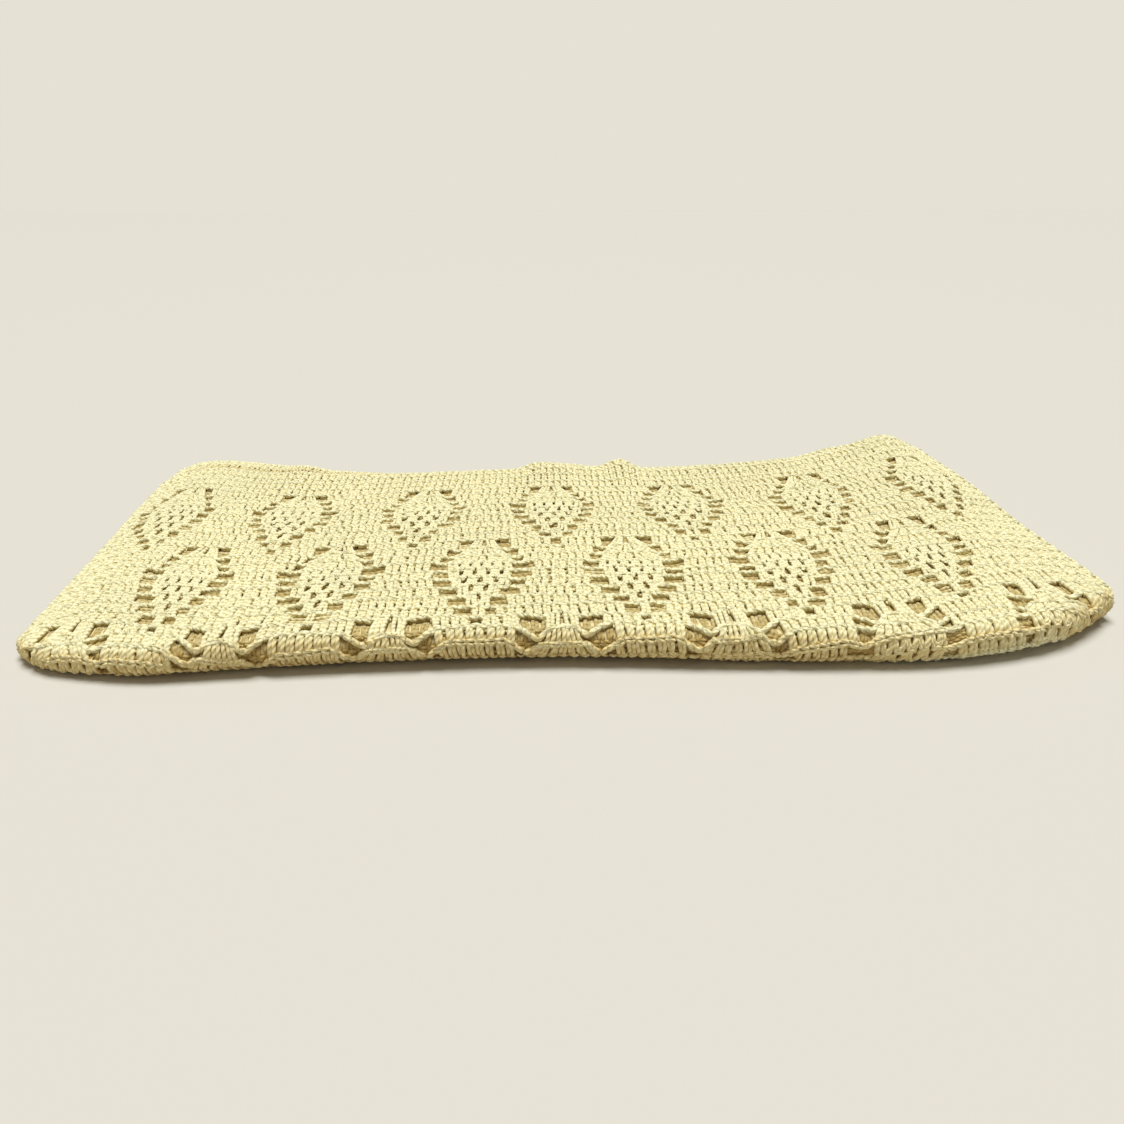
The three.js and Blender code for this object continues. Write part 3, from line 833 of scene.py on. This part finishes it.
def end_fold(yarn):
    """Posts over the fold at the cloth's right end, and braids that cross it."""
    foot, head = (np.array([[line(b + k, EDGE)] for b in range(BANDS)]) for k in (-1, 0))
    t = np.linspace(0, 1, 6)
    begin = -0.36 + dice.normal(0, 0.07, (BANDS, 1))
    for strand in (0, 1):
        turn = np.pi * (begin + t * 0.72 + strand)
        u = Cloth.WIDTH + Cloth.FOLD / 2 + 0.9 * np.cos(turn)
        n = 1.0 + 0.35 * np.sin(np.pi * t) + 0.5 * np.sin(turn)
        yarn.sweep(u, foot + (head - foot) * t, n, 1.5, 5)
    t = np.linspace(0, 1, 7)
    past = 3
    u = Cloth.WIDTH - past + (Cloth.FOLD + 2 * past) * np.broadcast_to(t, (BANDS, 7))
    for arm in (-1, 1):
        s = head + arm * (1.3 - 0.5 * np.cos(4 * np.pi * t))
        n = 1.1 + 0.5 * np.sin(np.pi * t) + 0.2 * np.cos(4 * np.pi * t + arm)
        yarn.sweep(u, s, n, 1.25, 5)


def side_edges(yarn):
    """The strand along the left edge of either half."""
    s = np.arange(0, SIDE_LENGTH, 3.0)
    outer = 1.0 + 0.7 * np.sin(2 * np.pi * s / ROW)
    n = 0.2 + 0.4 * np.cos(2 * np.pi * s / ROW)
    for u in (outer, Cloth.OPENED - outer):
        yarn.sweep(u[None], s[None], n[None], 1.35, 5)


# ---- Materials ----
class Look:
    """A material. Inputs take numbers, colours or other nodes' outputs."""

    def __init__(self, name, inputs):
        self.material = bpy.data.materials.new(name)
        self.material.use_nodes = True
        self.tree = self.material.node_tree
        self.fill(self.tree.nodes["Principled BSDF"], inputs)

    def fill(self, node, inputs):
        for name, value in inputs.items():
            if isinstance(value, bpy.types.NodeSocket):
                self.tree.links.new(value, node.inputs[name])
            else:
                node.inputs[name].default_value = value

    def add(self, kind, inputs=None, **settings):
        """Adds a node and returns its outputs."""
        node = self.tree.nodes.new(kind)
        for name, value in settings.items():
            setattr(node, name, value)
        self.fill(node, inputs or {})
        return node.outputs

    def math(self, operation, *values):
        return self.add("ShaderNodeMath", dict(enumerate(values)), operation=operation)[0]

    def vector(self, operation, inputs):
        return self.add("ShaderNodeVectorMath", inputs, operation=operation)[0]

    def range(self, value, low=(0.0, 1.0), high=(0.0, 1.0)):
        ends = {"From Min": low[0], "From Max": low[1], "To Min": high[0], "To Max": high[1]}
        return self.add("ShaderNodeMapRange", {"Value": value, **ends})[0]

    def noise(self, place, scale, detail):
        inputs = {"Vector": place, "Scale": scale, "Detail": detail}
        return self.add("ShaderNodeTexNoise", inputs)

    def separate(self, vector):
        return self.add("ShaderNodeSeparateXYZ", {0: vector})

    def ramp(self, value, stops, interpolation="LINEAR"):
        """Colours from the first at 0 to the last at 1; those between are (place, colour)."""
        node = self.tree.nodes.new("ShaderNodeValToRGB")
        node.color_ramp.interpolation = interpolation
        elements = node.color_ramp.elements
        first, *between, last = stops
        elements[0].color, elements[1].color = first, last
        for place, colour in between:
            elements.new(place).color = colour
        self.fill(node, {0: value})
        return node.outputs[0]

    def done(self, colour, height, strength, distance):
        """Connects the surface's colour and its bump."""
        bump = {"Height": height, "Strength": strength, "Distance": distance}
        normal = self.add("ShaderNodeBump", bump)[0]
        self.fill(self.tree.nodes["Principled BSDF"], {"Base Color": colour, "Normal": normal})
        return self.material


# Painted shade: the lower the yarn's surface lies, in gaps and on strands' sides, the darker and
# browner its colour.
PAINTED_DEPTH_SHADE_RAMP = [(0.59, 0.48, 0.22, 1), (0.42, (0.90, 0.83, 0.51, 1)), (0.975, 0.955, 0.66, 1)]
YARN_HEIGHTS = (-1.0, 2.1)  # heights over the cloth's middle at the painted shade ramp's ends
PAINTED_WARM_SHADE, PAINTED_WARM_SHADE_FULL = (1.0, 0.90, 0.74, 1), 0.6  # what the front roll's painted shade leaves of the colour
PAINTED_GROOVE_SHADE = (0.86, 0.80, 0.66)  # painted shade: what the grooves between the plies leave of the colour
PLY_LENGTH, PLIES = 4.2, 2
# Painted shade of the sheet under the stitches: darker between its posts, lighter on them.
PAINTED_SHADE_GROUND_RAMP = [(0.68, 0.57, 0.30, 1), (0.80, 0.70, 0.41, 1)]


def yarn_material():
    """Cream plied yarn: twisted plies and loose fibre as bump, and painted shade: darker and
    warmer where it lies deep.
    """
    inputs = {
        "Roughness": 0.93,
        "Sheen Weight": 0.12,
        "Sheen Roughness": 0.5,
        "Sheen Tint": (1.0, 0.93, 0.72, 1),
        "Specular IOR Level": 0.2,
    }
    look = Look("yarn", inputs)
    # Painted shade by height, a random number for the tube, and the front roll's painted warmth.
    depth = look.add("ShaderNodeAttribute", attribute_name="depth")["Vector"]
    height, random, shade_warmth = look.separate(depth)
    colour = look.ramp(look.range(height, YARN_HEIGHTS), PAINTED_DEPTH_SHADE_RAMP, "EASE")
    # Painted shade: the front roll's yarn is coloured warmer and darker where it turns down.
    warm = {"Factor": look.range(shade_warmth, (0.0, PAINTED_WARM_SHADE_FULL)), "A": colour, "B": PAINTED_WARM_SHADE}
    warmed = look.add("ShaderNodeMix", warm, data_type="RGBA", blend_type="MULTIPLY")["Result"]
    place = look.add("ShaderNodeTexCoord")["Object"]
    cloud = look.range(look.noise(place, 9.0, 3.0)[0], high=(0.93, 1.05))
    each = look.range(random, high=(0.95, 1.03))
    tint = look.vector("SCALE", {0: warmed, "Scale": look.math("MULTIPLY", cloud, each)})
    # The plies lean along the strand; painted shade darkens the grooves between them.
    strand = look.separate(look.add("ShaderNodeUVMap", uv_map="strand")[0])
    along = look.math("MULTIPLY", strand[0], 2 * math.pi / PLY_LENGTH)
    around = look.math("MULTIPLY", strand[1], 2 * math.pi * PLIES)
    wave = look.math("SINE", look.math("ADD", along, around))
    groove_shade = look.range(wave, (-0.95, 0.1))
    mix = {"Factor": groove_shade, "A": look.vector("MULTIPLY", {0: tint, 1: PAINTED_GROOVE_SHADE}), "B": tint}
    grooved = look.add("ShaderNodeMix", mix, data_type="RGBA")["Result"]
    fibre = look.noise(place, 900.0, 2.0)[0]
    return look.done(grooved, look.math("MULTIPLY_ADD", fibre, 0.9, wave), 0.7, 0.0004)


def ground_material():
    """The cloth's depth, seen between stitches and through openings, coloured as painted shade:
    browner and darker than the yarn, darkest between its patterned posts.
    """
    look = Look("ground_painted_shade", {"Roughness": 1.0, "Specular IOR Level": 0.1})
    place = look.add("ShaderNodeTexCoord")["Object"]
    shift = look.noise(place, 120.0, 1.0)["Color"]
    flat = look.add("ShaderNodeUVMap", uv_map="cloth")[0]
    spread = look.separate(look.vector("MULTIPLY_ADD", {0: shift, 1: (3.0, 3.0, 0), 2: flat}))
    waves = [
        look.math("COSINE", look.math("MULTIPLY", spread[k], 2 * math.pi / length))
        for k, length in enumerate((STITCH / 2, ROW))
    ]
    height = look.range(look.math("MAXIMUM", *waves), (-0.9, 0.8))
    return look.done(look.ramp(height, PAINTED_SHADE_GROUND_RAMP), height, 1.0, 0.0012)


# ---- Pieces, in metres in the frame ----
METRE = 0.001  # one millimetre
GROUND_SINK, SINK_REACH = 2.0, 14  # how much deeper the ground lies under the outer half
GROUND_FACES = ((0.7, 1.35), (0.2, 2.1))  # depth of its two faces, on the outer and inner half

yarn_look, ground_look = yarn_material(), ground_material()


def linked(name, data):
    made = bpy.data.objects.new(name, data)
    bpy.context.scene.collection.objects.link(made)
    return made


def make_object(name, points, faces, material, layer, uvs):
    mesh = bpy.data.meshes.new(name)
    mesh.vertices.add(len(points))
    mesh.vertices.foreach_set("co", points.astype(np.float32).ravel())
    mesh.loops.add(faces.size)
    mesh.loops.foreach_set("vertex_index", faces.astype(np.int32).ravel())
    mesh.polygons.add(len(faces))
    mesh.polygons.foreach_set("loop_start", np.arange(0, faces.size, 4, dtype=np.int32))
    mesh.update(calc_edges=True)
    mesh.polygons.foreach_set("use_smooth", np.ones(len(faces), bool))
    uv_layer = mesh.uv_layers.new(name=layer)
    uv_layer.data.foreach_set("uv", uvs.astype(np.float32).ravel())
    mesh.materials.append(material)
    made = linked(name, mesh)
    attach(made, "root")
    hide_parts("afghan")
    return made


def ground_sheet():
    """One closed folded sheet under the stitches."""
    coarse = Cloth(columns=72, turns=5, fine=False)
    turning = np.clip((coarse.u - Cloth.WIDTH) / Cloth.FOLD, 0, 1)[None, :, None]
    sinking = smooth((Cloth.WIDTH - coarse.u) / SINK_REACH)[None, :, None]
    sides = []
    for outer_depth, inner_depth in GROUND_FACES:
        depth = outer_depth + (inner_depth - outer_depth) * turning - GROUND_SINK * sinking
        sides.append(coarse.middle + coarse.away * (coarse.gap + depth * coarse.press))
    rows, cols = coarse.s.shape
    a, b = np.arange(2 * rows * cols).reshape(2, rows, cols)
    # Its two faces, then its four edges.
    quads = (
        (a[:-1, :-1], a[1:, :-1], a[1:, 1:], a[:-1, 1:]),
        (b[:-1, :-1], b[:-1, 1:], b[1:, 1:], b[1:, :-1]),
        (a[0, :-1], a[0, 1:], b[0, 1:], b[0, :-1]),
        (a[-1, 1:], a[-1, :-1], b[-1, :-1], b[-1, 1:]),
        (a[1:, 0], a[:-1, 0], b[:-1, 0], b[1:, 0]),
        (a[:-1, -1], a[1:, -1], b[1:, -1], b[:-1, -1]),
    )
    faces = np.concatenate([np.stack(corners, -1).reshape(-1, 4) for corners in quads])
    flat = np.stack([np.broadcast_to(coarse.u, (rows, cols)), coarse.s], -1).reshape(-1, 2)
    points = np.concatenate([side.reshape(-1, 3) for side in sides])
    return points, faces, flat[faces % len(flat)].reshape(-1, 2)


# From the part's source to the frame, whose origin is the middle of the stack.
shell = Cloth(columns=80, turns=5, fine=False).layer(CLOTH).reshape(-1, 3)
centre = (np.array(cad_low) + np.array(cad_high)) / 2 / METRE
SHIFT = np.array([*(centre - (shell.min(0) + shell.max(0)) / 2)[:2], 0])


def finish_yarn(yarn):
    points = (np.concatenate(yarn.points) + SHIFT) * METRE
    faces, uvs = np.concatenate(yarn.faces), np.concatenate(yarn.uvs)
    made = make_object(yarn.name, points, faces, yarn_look, "strand", uvs)
    # Painted shade, a random number and painted warmth for every point of the yarn.
    attribute = made.data.attributes.new("depth", "FLOAT_VECTOR", "POINT")
    attribute.data.foreach_set("vector", np.concatenate(yarn.shades).astype(np.float32).ravel())


# The sheet under the stitches, coloured as painted shade.
points, faces, flat = ground_sheet()
ground = make_object("cloth", (points + SHIFT) * METRE, faces, ground_look, "cloth", flat)

TOP_BANDS = (range(0, 6), range(6, 12), range(12, 18), range(18, 23), range(23, 27))
UNDERSIDE_BANDS, BACK_BANDS, HIDDEN_BANDS = range(27, 46), range(46, 52), range(52, BANDS)
INNER_LAST = (-17, -26, -34, -46, -54)  # where each inner row that comes out at the back ends

for number, bands in enumerate(TOP_BANDS):
    part = Yarn(f"stitches_top_{number + 1}")
    if number == 0:
        starting_edge(part)
    crochet(part, bands)
    finish_yarn(part)

part = Yarn("stitches_under")
crochet(part, UNDERSIDE_BANDS, fine=False)
finish_yarn(part)

part = Yarn("stitches_back")
crochet(part, BACK_BANDS, fine=False, plain=True)
part.shadow, part.shade_warmth = painted_edge_shadow, 0
for band, last in enumerate(INNER_LAST):
    crochet(part, [band], reach=(-EDGE, last), half=-1, face=-1, plain=True)
starting_edge(part, half=-1, face=-1)
finish_yarn(part)

# The runs' ends show only their outermost stitches.
part = Yarn("stitches_ends")
left_end, right_end = (-EDGE, -EDGE + 2), (EDGE - 2, EDGE)
crochet(part, HIDDEN_BANDS, reach=left_end, fine=False, plain=True)
crochet(part, range(5, BANDS), reach=left_end, half=-1, face=-1, fine=False, plain=True)
crochet(part, HIDDEN_BANDS, reach=right_end, fine=False, plain=True)
crochet(part, range(BANDS), reach=right_end, half=-1, fine=False, plain=True)
end_fold(part)
side_edges(part)
finish_yarn(part)

# ---- Camera, light and floor ----
EYE = Vector((-18, -431, 278))  # in the part's source
TURN, PITCH = math.radians(2.4), math.radians(26.45)
FOCAL = 790 / 1124  # focal length against the image's width
FLOOR_HALF, FLOOR_DROP = 6, 0.0001
FLOOR, BACKDROP = (0.64, 0.625, 0.59, 1), (0.785, 0.753, 0.658, 1)
SKY, SKY_STRENGTH = (1, 0.9, 0.7, 1), 0.26
KEY, KEY_STRENGTH, KEY_ANGLE, KEY_LEAN, KEY_HEADING = (1, 1, 0.96), 3.15, 30, 13, 175

camera = linked("camera", bpy.data.cameras.new("camera"))
camera.data.lens = camera.data.sensor_width * FOCAL
camera.location = (EYE + Vector(SHIFT)) * METRE
camera.rotation_euler = (math.pi / 2 - PITCH, 0, -TURN)
camera.data.clip_start = 0.01
bpy.context.scene.camera = camera

floor_mesh = bpy.data.meshes.new("floor")
corners = [(x * FLOOR_HALF, y * FLOOR_HALF, 0) for x, y in ((-1, -1), (1, -1), (1, 1), (-1, 1))]
floor_mesh.from_pydata(corners, [], [(0, 1, 2, 3)])
floor = linked("floor", floor_mesh)
floor.location.z = -FLOOR_DROP
floor_mesh.materials.append(Look("floor", {"Base Color": FLOOR, "Roughness": 0.9}).material)

world = bpy.data.worlds.new("world")
bpy.context.scene.world = world
world.use_nodes = True
nodes, link = world.node_tree.nodes, world.node_tree.links.new
sky, backdrop = nodes["Background"], nodes.new("ShaderNodeBackground")
sky.inputs[0].default_value, sky.inputs[1].default_value = SKY, SKY_STRENGTH
backdrop.inputs[0].default_value = BACKDROP
choice = nodes.new("ShaderNodeMixShader")
in_view = nodes.new("ShaderNodeLightPath").outputs["Is Camera Ray"]
for k, source in enumerate((in_view, sky.outputs[0], backdrop.outputs[0])):
    link(source, choice.inputs[k])
link(choice.outputs[0], nodes["World Output"].inputs[0])

lamp = bpy.data.lights.new("key", "SUN")
lamp.energy = KEY_STRENGTH
lamp.angle = math.radians(KEY_ANGLE)
lamp.color = KEY
linked("key", lamp).rotation_euler = (math.radians(KEY_LEAN), 0, math.radians(KEY_HEADING))

bpy.context.scene.view_settings.view_transform = "Standard"
